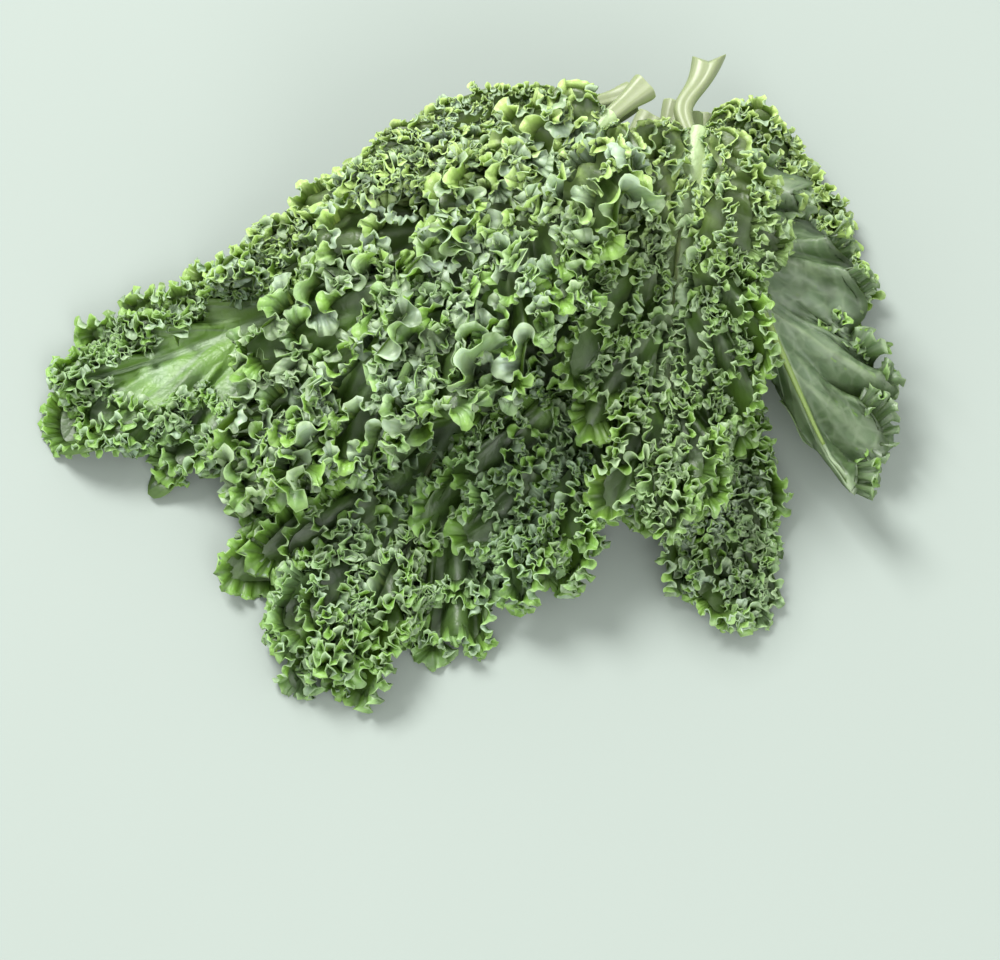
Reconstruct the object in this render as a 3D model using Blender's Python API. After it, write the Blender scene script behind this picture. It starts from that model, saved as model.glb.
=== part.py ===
"""A bunch of curly kale, laid down: eleven whole leaves, their cut stalks gathered at the back and their
frilled blades fanned out to the left, the front and the right.

Each leaf is two objects, a pale stalk that runs on as the midrib, and the green blade over it. Both start as
a primitive in a flat parameter space and are carried along the midrib's path by formula. The leaves are then
laid on the pile one after another, from the lowest to the top one, so that none passes through another.

Metres, +Z up. The bunch lies on the plane z = 0, with its origin under the middle of its box.
"""

import math
from typing import NamedTuple

import bmesh
import bpy
import numpy as np

MM = 0.001

# Blade: thickness, where the midrib's veins end, and the blunt outline that they reach.
BLADE_THICKNESS = 1.8 * MM
RIB_END = 0.86
VEIN_LEAN = 1.4
OUTLINE_FROM = 0.10
BLUNTNESS = 0.80
LOBES_A_SIDE = 5.5
NOTCH_DEPTH = 0.22
BEND_FROM = 1.3

# Frills: the lobes cup up and down, and the margin waves on them. Each grows outwards as a power of v.
LOBE_CUP = 8.5 * MM
CUP_POWER = 1.6
SLOW_POWER = 1.4
RUFFLE = 9 * MM
RUFFLE_POWER = 2.8
RUFFLE_LENGTH = 21 * MM
FRILL_FADE = 0.12
FULL_FRILL_WIDTH = 50 * MM
CROSS_CURVE = 1.2

# Stalk: half widths along its length, as shares of the leaf's own stalk radius.
FOOT_FLARE = 0.45
FOOT_LENGTH = 0.05
TIP_SHARE = 0.16
THINNING_POWER = 0.8
STALK_END = 0.98 * RIB_END
RIB_GAP = 2.0 * MM
RIB_GAP_TURNED_OVER = 3.4 * MM

# Mesh densities.
MARGIN_STEP = 4.3 * MM
ROWS_AT = (0.0, 0.42, 0.76, 1.0)
MARGIN_CUTS = 1
MARGIN_SAMPLES = 801
STALK_SIDES = 6
STALK_RINGS = 22

# Laying the leaves on the pile: a grid of heights under and on the leaves.
CELL = 4 * MM
HALF_X = 0.30
HALF_Y = 0.26
LEAF_GAP = 2.4 * MM
SHARPNESS = 1.4 / MM
STIFF = 0.006 / MM
SUPPLE = 0.03 / MM
NESTING = 13 * MM
STALK_SIDE = 15 * MM
PRESS_ROUND = 3 * MM
EMPTY = -1.0
LATTICE = 6
SETTLE_PASSES = 14
SETTLE = 0.004 / MM

# The flat spots on which the lowest stalks rest, and how far the blades stay off the table.
SINK = 0.6 * MM
BLADE_FLOOR = 1.9 * MM
BLADE_CLEARANCE = 0.2 * MM


class Noise(NamedTuple):
    """A smooth random wave round a leaf's margin. The number tells it from the leaf's other waves."""

    number: int
    cycles: float
    size: float


WIDTH_NOISE = Noise(1, 6, 0.08)
SLOW_WAVE = Noise(2, 5, 6 * MM)
RUFFLE_DRIFT = Noise(3, 9, 1.2)
RUFFLE_UNEVENNESS = Noise(4, 12, 0.35)
LOBE_DRIFT = Noise(5, 4, 2.0)
NOISE_WAVES = 4
NOISE_SPREAD = (0.6, 1.4)


class Leaf(NamedTuple):
    """One leaf. The path's four points steer the midrib seen from above, from the cut end to the blade's tip.

    The blade starts at a share of the path, and has a half width to the left and to the right of it."""

    name: str
    path: tuple
    start: float
    left_width: float
    right_width: float
    stalk: float
    arch: float
    fold: float
    roll: float
    seed: int
    frill: float = 1.0


# From the lowest leaf to the one on top. Sizes are in metres and angles in degrees.
LEAVES = (
    Leaf("far_left", ((0.062, 0.132), (-0.022, 0.078), (-0.112, 0.016), (-0.2175, -0.001)),
         0.22, 0.073, 0.040, 0.0057, 0.002, 8, 0, 1),
    Leaf("bottom_left", ((0.097, 0.142), (0.038, 0.045), (-0.030, -0.054), (-0.078, -0.152)),
         0.20, 0.074, 0.090, 0.0062, 0.002, 8, 0, 2),
    Leaf("hanging", ((0.122, 0.145), (0.108, 0.026), (0.122, -0.060), (0.141, -0.130)),
         0.30, 0.034, 0.036, 0.0053, 0.002, 14, 0, 3),
    Leaf("upper_right", ((0.112, 0.132), (0.154, 0.112), (0.174, 0.062), (0.186, 0.010)),
         0.06, 0.038, 0.050, 0.0051, 0.003, 6, 0, 4),
    Leaf("upper_left", ((0.060, 0.138), (0.012, 0.107), (-0.052, 0.071), (-0.1375, 0.0495)),
         0.12, 0.044, 0.036, 0.0053, 0.003, 8, 0, 5),
    Leaf("bottom_centre", ((0.108, 0.137), (0.080, 0.052), (0.040, -0.042), (0.028, -0.110)),
         0.18, 0.054, 0.056, 0.0055, 0.004, 8, 0, 6),
    Leaf("mid_left", ((0.082, 0.138), (0.014, 0.072), (-0.058, 0.005), (-0.121, -0.069)),
         0.14, 0.054, 0.058, 0.0055, 0.004, 8, 0, 7),
    Leaf("right", ((0.112, 0.122), (0.124, 0.068), (0.153, -0.008), (0.199, -0.070)),
         0.10, 0.014, 0.056, 0.0050, 0.006, -4, 180, 8),
    Leaf("mid_right", ((0.1215, 0.1456), (0.108, 0.067), (0.0950, -0.010), (0.1025, -0.088)),
         0.15, 0.052, 0.054, 0.0057, 0.006, 8, 0, 9),
    Leaf("top_back", ((0.0825, 0.134), (0.035, 0.120), (-0.015, 0.101), (-0.075, 0.076)),
         0.22, 0.036, 0.028, 0.0048, 0.004, 6, 0, 10),
    Leaf("centre", ((0.0875, 0.120), (0.0425, 0.080), (-0.0075, 0.024), (-0.0375, -0.0506)),
         0.12, 0.056, 0.058, 0.0051, 0.006, 8, 0, 11),
)

BLADE_COLOUR = (0.105, 0.205, 0.045, 1.0)
STALK_COLOUR = (0.560, 0.640, 0.330, 1.0)


def clear_scene():
    for found in list(bpy.data.objects):
        bpy.data.objects.remove(found)


def material(name, colour, roughness):
    """A plain Principled finish."""
    made = bpy.data.materials.new(name)
    made.use_nodes = True
    shader = made.node_tree.nodes["Principled BSDF"]
    shader.inputs["Base Color"].default_value = colour
    shader.inputs["Roughness"].default_value = roughness
    shader.inputs["Metallic"].default_value = 0.0
    made.diffuse_color = colour
    return made


def wave_of(noise, leaf, at):
    """The noise's height at each place from 0 to 1: a few sines of about its number of cycles, summed."""
    draw = np.random.default_rng(leaf.seed * 10 + noise.number)
    turns = noise.cycles * draw.uniform(*NOISE_SPREAD, NOISE_WAVES)
    phases = draw.uniform(0, 2 * math.pi, NOISE_WAVES)
    waves = np.sin(2 * math.pi * np.outer(at, turns) + phases)
    return noise.size * waves.sum(1) / math.sqrt(2 * NOISE_WAVES)


def along_path(leaf, s):
    """The midrib's point at each share s of the path, and its forward, left and up directions."""
    p = np.array(leaf.path)
    s = np.asarray(s, float)[:, None]
    r = 1 - s
    plan = r**3 * p[0] + 3 * r * r * s * p[1] + 3 * r * s * s * p[2] + s**3 * p[3]
    speed = 3 * (r * r * (p[1] - p[0]) + 2 * r * s * (p[2] - p[1]) + s * s * (p[3] - p[2]))
    height = leaf.arch * 4 * s[:, 0] * r[:, 0]
    climb = leaf.arch * 4 * (1 - 2 * s[:, 0])
    centre = np.column_stack([plan, height])
    forward = np.column_stack([speed, climb])
    forward /= np.linalg.norm(forward, axis=1)[:, None]
    left = np.cross([0.0, 0.0, 1.0], forward)
    left /= np.linalg.norm(left, axis=1)[:, None]
    up = np.cross(forward, left)
    turn = math.radians(leaf.roll)
    left, up = left * math.cos(turn) + up * math.sin(turn), up * math.cos(turn) - left * math.sin(turn)
    return centre, forward, left, up


def turned_over(leaf):
    return math.cos(math.radians(leaf.roll)) < 0


def path_length(leaf):
    points = along_path(leaf, np.linspace(0, 1, 65))[0]
    return float(np.linalg.norm(np.diff(points, axis=0), axis=1).sum())


def rib_radius(leaf, s):
    """The stalk's half width: flared at the cut foot, then thinning steadily to the tip."""
    s = np.asarray(s, float)
    flare = 1 + FOOT_FLARE * np.exp(-((s / FOOT_LENGTH) ** 2))
    thin = 1 - (1 - TIP_SHARE) * np.clip(s / RIB_END, 0, 1) ** THINNING_POWER
    return leaf.stalk * flare * thin


def lobe_turn(leaf, u):
    """How far through its lobes the margin is at u, in radians."""
    tau = 1 - np.abs(2 * u - 1)
    return 2 * math.pi * LOBES_A_SIDE * tau + wave_of(LOBE_DRIFT, leaf, u)


def raw_outline(leaf, u, v):
    """Where (u, v) lies on the flattened leaf, as a share of the path and a distance to the left of it.

    u runs round the margin from the foot of the blade's right half over the tip to the foot of its left half.
    v runs out along the veins, from the midrib at 0 to the margin at 1. The margin is a blunt oval with
    rounded lobes, and each vein leans forwards from its foot on the midrib to its own point of the margin."""
    side = np.where(u < 0.5, -1.0, 1.0)
    tau = 1 - np.abs(2 * u - 1)
    foot = leaf.start + (RIB_END - leaf.start) * tau**VEIN_LEAN
    turn = math.pi * (OUTLINE_FROM + (1 - OUTLINE_FROM) * tau)
    half_length = (1 - leaf.start) / 2
    ahead = (1 + leaf.start) / 2 - half_length * np.sign(np.cos(turn)) * np.abs(np.cos(turn)) ** BLUNTNESS
    broad = np.where(u < 0.5, leaf.right_width, leaf.left_width)
    width = broad * np.abs(np.sin(turn)) ** BLUNTNESS
    notch = 0.5 + 0.5 * np.cos(lobe_turn(leaf, u))
    reach = (1 - NOTCH_DEPTH * notch) * (1 + wave_of(WIDTH_NOISE, leaf, u))
    return foot + v * reach * (ahead - foot), side * v * reach * width


def margin_walk(leaf):
    """Steps of u from a foot of the blade to its tip, and how far round the margin each is.

    The two halves share one mean walk, so that their feet meet all along the midrib."""
    u = np.linspace(0, 0.5, MARGIN_SAMPLES)
    gone = np.zeros_like(u)
    for half in (u, 1 - u):
        share, across = raw_outline(leaf, np.clip(half, 1e-9, 1), np.ones_like(u))
        gone[1:] += np.cumsum(np.hypot(np.diff(share) * path_length(leaf), np.diff(across))) / 2
    return u, gone


def margin_length(leaf):
    return 2 * margin_walk(leaf)[1][-1]


def evened(leaf, u):
    """The u that lies at this share of the way round the margin."""
    walk, gone = margin_walk(leaf)
    near = np.interp(np.minimum(u, 1 - u) * 2, gone / gone[-1], walk)
    return np.where(u < 0.5, near, 1 - near)


def base_surface(leaf, u, v):
    """The blade before it is frilled: each cross-section lies on the midrib and bends up by the fold."""
    share, across = raw_outline(leaf, evened(leaf, u), v)
    centre, _, left, up = along_path(leaf, share)
    radius = rib_radius(leaf, share)
    beyond = np.maximum(np.abs(across) - BEND_FROM * radius, 0)
    bend = math.radians(leaf.fold) * beyond + CROSS_CURVE * beyond**2 * math.copysign(1, leaf.fold)
    gap = RIB_GAP_TURNED_OVER if turned_over(leaf) else RIB_GAP
    rise = radius + gap + BLADE_THICKNESS / 2 + bend
    return centre + left * across[:, None] + up * rise[:, None]


def frilled_surface(leaf, u, v):
    """The blade with its lobes cupped and its margin ruffled. The waves die out towards the midrib.

    They only move points up or down, so that the blade has one height over each spot of the table."""
    points = base_surface(leaf, u, v)
    at = evened(leaf, u)
    tau = 1 - np.abs(2 * at - 1)
    cup = -LOBE_CUP * np.cos(lobe_turn(leaf, at)) * v**CUP_POWER
    slow = wave_of(SLOW_WAVE, leaf, u) * v**SLOW_POWER
    phase = 2 * math.pi * margin_length(leaf) / RUFFLE_LENGTH * u + wave_of(RUFFLE_DRIFT, leaf, u)
    size = 1 + wave_of(RUFFLE_UNEVENNESS, leaf, u)
    ruffle = RUFFLE * size * np.sin(phase) * v**RUFFLE_POWER
    broad = np.where(u < 0.5, leaf.right_width, leaf.left_width)
    fade = np.minimum(broad / FULL_FRILL_WIDTH, 1) ** 2 * np.minimum(tau / FRILL_FADE, 1)
    wave = (cup + slow + ruffle) * leaf.frill * fade
    points[:, 2] += wave
    return points


def place(bm, points):
    for vertex, point in zip(bm.verts, points):
        vertex.co = point


def blade_object(leaf, finish):
    """The blade's middle surface: a grid in (u, v), its margin cut finer, carried to the frilled form.

    It is split into triangles as it lies flat, where the best-shaped ones are easy to choose."""
    bm = bmesh.new()
    columns = 2 * round(margin_length(leaf) / (2 * MARGIN_STEP * (MARGIN_CUTS + 1)))
    bmesh.ops.create_grid(bm, x_segments=columns, y_segments=len(ROWS_AT) - 1, size=0.5)
    for vertex in bm.verts:
        vertex.co.x += 0.5
        row = round((vertex.co.y + 0.5) * (len(ROWS_AT) - 1))
        vertex.co.y = ROWS_AT[row]
    margin = [e for e in bm.edges if all(abs(v.co.y - 1) < 1e-6 for v in e.verts)]
    bmesh.ops.subdivide_edges(bm, edges=margin, cuts=MARGIN_CUTS)
    u, v, _ = np.array([vertex.co for vertex in bm.verts]).T
    share, across = raw_outline(leaf, evened(leaf, u), v)
    place(bm, np.column_stack([share * path_length(leaf), across, np.zeros_like(u)]))
    bmesh.ops.triangulate(bm, faces=bm.faces[:], quad_method="BEAUTY", ngon_method="BEAUTY")
    place(bm, frilled_surface(leaf, u, v))
    bmesh.ops.remove_doubles(bm, verts=bm.verts[:], dist=0.02 * MM)
    mesh = bpy.data.meshes.new(leaf.name + "_blade")
    bm.to_mesh(mesh)
    bm.free()
    made = bpy.data.objects.new(leaf.name + "_blade", mesh)
    made.data.materials.append(finish)
    return made


def thicken(made):
    """Gives the blade its thickness straight upwards, so that its two sides can't cross however it waves."""
    bm = bmesh.new()
    bm.from_mesh(made.data)
    bmesh.ops.translate(bm, verts=bm.verts[:], vec=(0, 0, -BLADE_THICKNESS / 2))
    raised = bmesh.ops.extrude_face_region(bm, geom=bm.faces[:])["geom"]
    corners = [found for found in raised if isinstance(found, bmesh.types.BMVert)]
    bmesh.ops.translate(bm, verts=corners, vec=(0, 0, BLADE_THICKNESS))
    bmesh.ops.recalc_face_normals(bm, faces=bm.faces[:])
    bm.to_mesh(made.data)
    bm.free()


def stalk_object(leaf, finish):
    """The stalk and midrib: a cylinder along +Z in parameter space, carried along the path and thinned."""
    bm = bmesh.new()
    bmesh.ops.create_cone(bm, cap_ends=True, segments=STALK_SIDES, radius1=1, radius2=1, depth=1)
    lengthwise = [e for e in bm.edges if abs(e.verts[0].co.z - e.verts[1].co.z) > 0.5]
    bmesh.ops.subdivide_edges(bm, edges=lengthwise, cuts=STALK_RINGS - 1)
    bmesh.ops.triangulate(bm, faces=bm.faces[:])
    bmesh.ops.recalc_face_normals(bm, faces=bm.faces[:])
    flat = np.array([v.co for v in bm.verts])
    share = (flat[:, 2] + 0.5) * STALK_END
    centre, _, left, up = along_path(leaf, share)
    radius = rib_radius(leaf, share)[:, None]
    turn = math.pi / STALK_SIDES
    sideways = flat[:, 0:1] * math.cos(turn) - flat[:, 1:2] * math.sin(turn)
    upwards = flat[:, 0:1] * math.sin(turn) + flat[:, 1:2] * math.cos(turn)
    place(bm, centre + radius * (left * sideways + up * upwards))
    mesh = bpy.data.meshes.new(leaf.name + "_stalk")
    bm.to_mesh(mesh)
    bm.free()
    mesh.shade_smooth()
    made = bpy.data.objects.new(leaf.name + "_stalk", mesh)
    made.data.materials.append(finish)
    return made


def points_of(made):
    flat = np.empty(len(made.data.vertices) * 3)
    made.data.vertices.foreach_get("co", flat)
    return flat.reshape(-1, 3)


def move_points(made, points):
    made.data.vertices.foreach_set("co", points.astype(np.float32).ravel())
    made.data.update()


def triangles_of(made):
    made.data.calc_loop_triangles()
    corners = np.empty(len(made.data.loop_triangles) * 3, np.int32)
    made.data.loop_triangles.foreach_get("vertices", corners)
    return corners.reshape(-1, 3)


def cells():
    return int(round(2 * HALF_X / CELL)) + 1, int(round(2 * HALF_Y / CELL)) + 1


def lattice_weights():
    """Barycentric weights of a lattice of points over a triangle."""
    n = LATTICE
    return np.array([(i, j, n - i - j) for i in range(n + 1) for j in range(n + 1 - i)]) / n


def samples_of(made, points):
    """Points spread over every triangle of the object."""
    corners = points[triangles_of(made)]
    return np.einsum("wk,tkc->twc", lattice_weights(), corners).reshape(-1, 3)


def cell_of(points):
    wide, deep = cells()
    ix = np.clip(np.rint((points[:, 0] + HALF_X) / CELL).astype(int), 0, wide - 1)
    iy = np.clip(np.rint((points[:, 1] + HALF_Y) / CELL).astype(int), 0, deep - 1)
    return ix, iy


def highest(points, start):
    """The grid of the points' greatest height in each cell and its neighbours, not below start."""
    grid = start.copy()
    np.maximum.at(grid, cell_of(points), points[:, 2])
    wide = np.pad(grid, 1, mode="edge")
    steps = [(i, j) for i in range(3) for j in range(3)]
    return np.maximum.reduce([wide[i : i + grid.shape[0], j : j + grid.shape[1]] for i, j in steps])


def envelope(field, curvature):
    """A smooth surface that passes over every point of the field and drops away from it as a parabola.

    It is a soft maximum of one downward parabola for each cell, which separates into two matrix products."""
    top = field.max()
    wide, deep = field.shape
    fall = SHARPNESS * curvature * CELL**2
    over_x = np.exp(-fall * np.subtract.outer(np.arange(wide), np.arange(wide)) ** 2.0)
    over_y = np.exp(-fall * np.subtract.outer(np.arange(deep), np.arange(deep)) ** 2.0)
    total = over_x @ np.exp(SHARPNESS * (field - top)) @ over_y
    return top + np.log(np.maximum(total, 1e-300)) / SHARPNESS


def read_grid(grid, points):
    """The grid's height at each point, between the cells' middles."""
    fx = np.clip((points[:, 0] + HALF_X) / CELL, 0, grid.shape[0] - 1.001)
    fy = np.clip((points[:, 1] + HALF_Y) / CELL, 0, grid.shape[1] - 1.001)
    ix, iy = fx.astype(int), fy.astype(int)
    dx, dy = fx - ix, fy - iy
    low = grid[ix, iy] * (1 - dx) + grid[ix + 1, iy] * dx
    high = grid[ix, iy + 1] * (1 - dx) + grid[ix + 1, iy + 1] * dx
    return low * (1 - dy) + high * dy


def rests_over(points, pile, low):
    """How far each cell's lowest point has to rise to clear the pile, or EMPTY where the leaf isn't."""
    grid = np.full(cells(), 9.0)
    np.minimum.at(grid, cell_of(points), points[:, 2])
    wide = np.pad(grid, 1, mode="edge")
    steps = [(i, j) for i in range(3) for j in range(3)]
    lowest = np.minimum.reduce([wide[i : i + grid.shape[0], j : j + grid.shape[1]] for i, j in steps])
    return np.where(lowest < 8, pile + low - lowest, EMPTY)


def lay_on(pile, blade, stalk, leaf):
    """Lays one leaf on the pile and returns the pile's new heights.

    The whole leaf is first sheared upwards by a stiff envelope until its stalk and the blade beside it clear
    the pile, and its frills do so less a little for nesting. What still reaches below the pile's own supple
    envelope is pressed up on to it, and what a flat triangle still cuts off is lifted last. Each step only
    moves points up or down and keeps their order, so a leaf never passes through itself."""
    raised = np.maximum(pile, BLADE_FLOOR)
    cover = envelope(raised, SUPPLE) + LEAF_GAP
    beside, outer = unfrilled_samples(leaf)
    if turned_over(leaf):
        clear_beside = rests_over(beside, cover, 2 * PRESS_ROUND)
    else:
        clear_beside = rests_over(beside, raised, LEAF_GAP)
    clear_stalk = rests_over(samples_of(stalk, points_of(stalk)), pile, LEAF_GAP)
    clear_outer = rests_over(outer, raised, LEAF_GAP - NESTING)
    need = np.maximum(np.maximum(clear_beside, clear_stalk), clear_outer)
    lift = envelope(need, STIFF)
    for made in (blade, stalk):
        points = points_of(made)
        points[:, 2] += read_grid(lift, points)
        if made is blade:
            under = read_grid(cover, points)
            above = points[:, 2] - under
            points[:, 2] = under + (above + np.sqrt(above**2 + PRESS_ROUND**2)) / 2
        move_points(made, points)
    for _ in range(SETTLE_PASSES):
        short = np.maximum(
            rests_over(samples_of(blade, points_of(blade)), raised, LEAF_GAP),
            rests_over(samples_of(stalk, points_of(stalk)), pile, LEAF_GAP),
        )
        if short.max() <= 0:
            break
        lift = np.maximum(envelope(np.where(short > 0, short, EMPTY), SETTLE), 0)
        for made in (blade, stalk):
            points = points_of(made)
            points[:, 2] += read_grid(lift, points)
            move_points(made, points)
    spread = np.vstack([samples_of(made, points_of(made)) for made in (blade, stalk)])
    return highest(spread, pile)


def unfrilled_samples(leaf):
    """Points spread over the blade before it is frilled: those beside the stalk, and those further out."""
    u, v = np.meshgrid(np.linspace(0.0, 1.0, 161), np.linspace(0, 0.95, 31))
    points = base_surface(leaf, u.ravel(), v.ravel())
    rib = along_path(leaf, np.linspace(0, 1, 81))[0]
    away = np.hypot(*np.moveaxis(points[:, None, :2] - rib[None, :, :2], 2, 0)).min(1)
    return points[away < STALK_SIDE], points[away >= STALK_SIDE]


def rest_on_table(blades, stalks):
    """Sinks the bunch until its lowest stalks have flat spots on the table. The blades stay just off it."""
    lowest = min(points_of(made)[:, 2].min() for made in stalks)
    for made in stalks:
        points = points_of(made)
        points[:, 2] = np.maximum(points[:, 2] - lowest - SINK, 0)
        move_points(made, points)
    for made in blades:
        points = points_of(made)
        points[:, 2] = np.maximum(points[:, 2] - lowest - SINK, BLADE_THICKNESS / 2 + BLADE_CLEARANCE)
        move_points(made, points)


def centre_on_origin(objects):
    """Shifts the bunch so that its origin is under the middle of its box."""
    bpy.context.view_layer.update()
    graph = bpy.context.evaluated_depsgraph_get()
    corners = np.array([c[:] for made in objects for c in made.evaluated_get(graph).bound_box])
    middle = (corners.min(0) + corners.max(0)) / 2
    for made in objects:
        points = points_of(made)
        points[:, :2] -= middle[:2]
        move_points(made, points)


def main():
    clear_scene()
    collection = bpy.data.collections.new("kale_bunch")
    bpy.context.scene.collection.children.link(collection)
    green = material("kale_green", BLADE_COLOUR, 0.55)
    pale = material("stalk_pale_green", STALK_COLOUR, 0.45)
    pile = np.zeros(cells())
    blades, stalks = [], []
    for leaf in LEAVES:
        blade = blade_object(leaf, green)
        stalk = stalk_object(leaf, pale)
        collection.objects.link(blade)
        collection.objects.link(stalk)
        pile = lay_on(pile, blade, stalk, leaf)
        blades.append(blade)
        stalks.append(stalk)
    rest_on_table(blades, stalks)
    for blade in blades:
        thicken(blade)
    centre_on_origin(blades + stalks)


main()
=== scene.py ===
"""The looks of a bunch of curly kale: fine leaves where the solid ones lie, their finishes, light and camera.

Each leaf repeats the formulas that gave its solid form and reads from the solid how far it was lifted on to the
pile. It adds what the solid leaves out: lobes that lie over one another, and the curled edges that stand on
them in tiers.
"""

from __future__ import annotations

import logging
import math
from dataclasses import dataclass, replace
from enum import Enum
from functools import cached_property

import bpy
import numpy as np
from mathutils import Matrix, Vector


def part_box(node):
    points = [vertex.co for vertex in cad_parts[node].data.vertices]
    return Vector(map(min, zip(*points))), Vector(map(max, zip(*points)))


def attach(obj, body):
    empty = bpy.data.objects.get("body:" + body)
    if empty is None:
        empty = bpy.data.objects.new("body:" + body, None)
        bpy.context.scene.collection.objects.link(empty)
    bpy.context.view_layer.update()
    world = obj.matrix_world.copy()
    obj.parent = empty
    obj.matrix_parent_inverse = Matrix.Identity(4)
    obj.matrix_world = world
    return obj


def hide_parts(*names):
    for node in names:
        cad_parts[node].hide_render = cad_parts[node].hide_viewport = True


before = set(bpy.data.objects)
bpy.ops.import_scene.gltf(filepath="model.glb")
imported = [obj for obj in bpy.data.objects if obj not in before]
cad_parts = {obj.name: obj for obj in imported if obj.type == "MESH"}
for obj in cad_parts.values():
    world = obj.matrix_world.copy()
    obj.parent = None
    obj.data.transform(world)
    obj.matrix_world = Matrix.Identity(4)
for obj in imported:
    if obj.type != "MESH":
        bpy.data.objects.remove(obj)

Array = np.ndarray
MM = 0.001
TURN = 2 * math.pi
log = logging.getLogger("kale")

# The solid leaves' own numbers.
SOLID_THICKNESS = 1.8 * MM
RIB_END = 0.86
VEIN_LEAN = 1.4
OUTLINE_FROM = 0.10
BLUNTNESS = 0.80
LOBES_A_SIDE = 5.5
NOTCH_DEPTH = 0.22
BEND_FROM = 1.3
LOBE_CUP = 8.5 * MM
CUP_POWER = 1.6
SLOW_POWER = 1.4
RUFFLE = 9 * MM
RUFFLE_POWER = 2.8
RUFFLE_LENGTH = 21 * MM
FRILL_FADE = 0.12
FULL_FRILL_WIDTH = 50 * MM
CROSS_CURVE = 1.2
FOOT_FLARE = 0.45
FOOT_LENGTH = 0.05
TIP_SHARE = 0.16
THINNING_POWER = 0.8
STALK_END = 0.98 * RIB_END
RIB_GAP = 2.0 * MM
RIB_GAP_TURNED_OVER = 3.4 * MM
MARGIN_STEP = 4.3 * MM
ROWS_AT = (0.0, 0.42, 0.76, 1.0)
STALK_RINGS = 22
MARGIN_SAMPLES = 801
SAME_SPOT = 0.03 * MM


def unit(vectors: Array) -> Array:
    """Each vector divided by its length."""
    return vectors / np.maximum(np.linalg.norm(vectors, axis=-1, keepdims=True), 1e-12)


def smooth(x: Array, low: float, high: float) -> Array:
    """0 below low, 1 above high, and the S-curve 3t^2 - 2t^3 between them."""
    t = np.clip((x - low) / (high - low), 0, 1)
    return t * t * (3 - 2 * t)


@dataclass(frozen=True)
class Wave:
    """A smooth random wave round a leaf's margin, with about this many cycles over the whole of it."""

    number: int
    cycles: float
    size: float

    def height(self, seed: int, at: Array) -> Array:
        """The wave's height: the sum of four sines, whose cycles and phases are drawn from the leaf's seed.

        Args:
            seed: The leaf's own number.
            at: Places round the margin, from 0 to 1, as an array of any shape.

        Returns:
            The height at each place.
        """
        draw = np.random.default_rng(seed * 10 + self.number)
        turns = self.cycles * draw.uniform(0.6, 1.4, 4)
        phases = draw.uniform(0, TURN, 4)
        return self.size * np.sin(TURN * at[..., None] * turns + phases).sum(-1) / math.sqrt(8)


WIDTH_NOISE = Wave(1, 6, 0.08)
SLOW_WAVE = Wave(2, 5, 6 * MM)
RUFFLE_DRIFT = Wave(3, 9, 1.2)
RUFFLE_UNEVENNESS = Wave(4, 12, 0.35)
LOBE_DRIFT = Wave(5, 4, 2.0)


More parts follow.
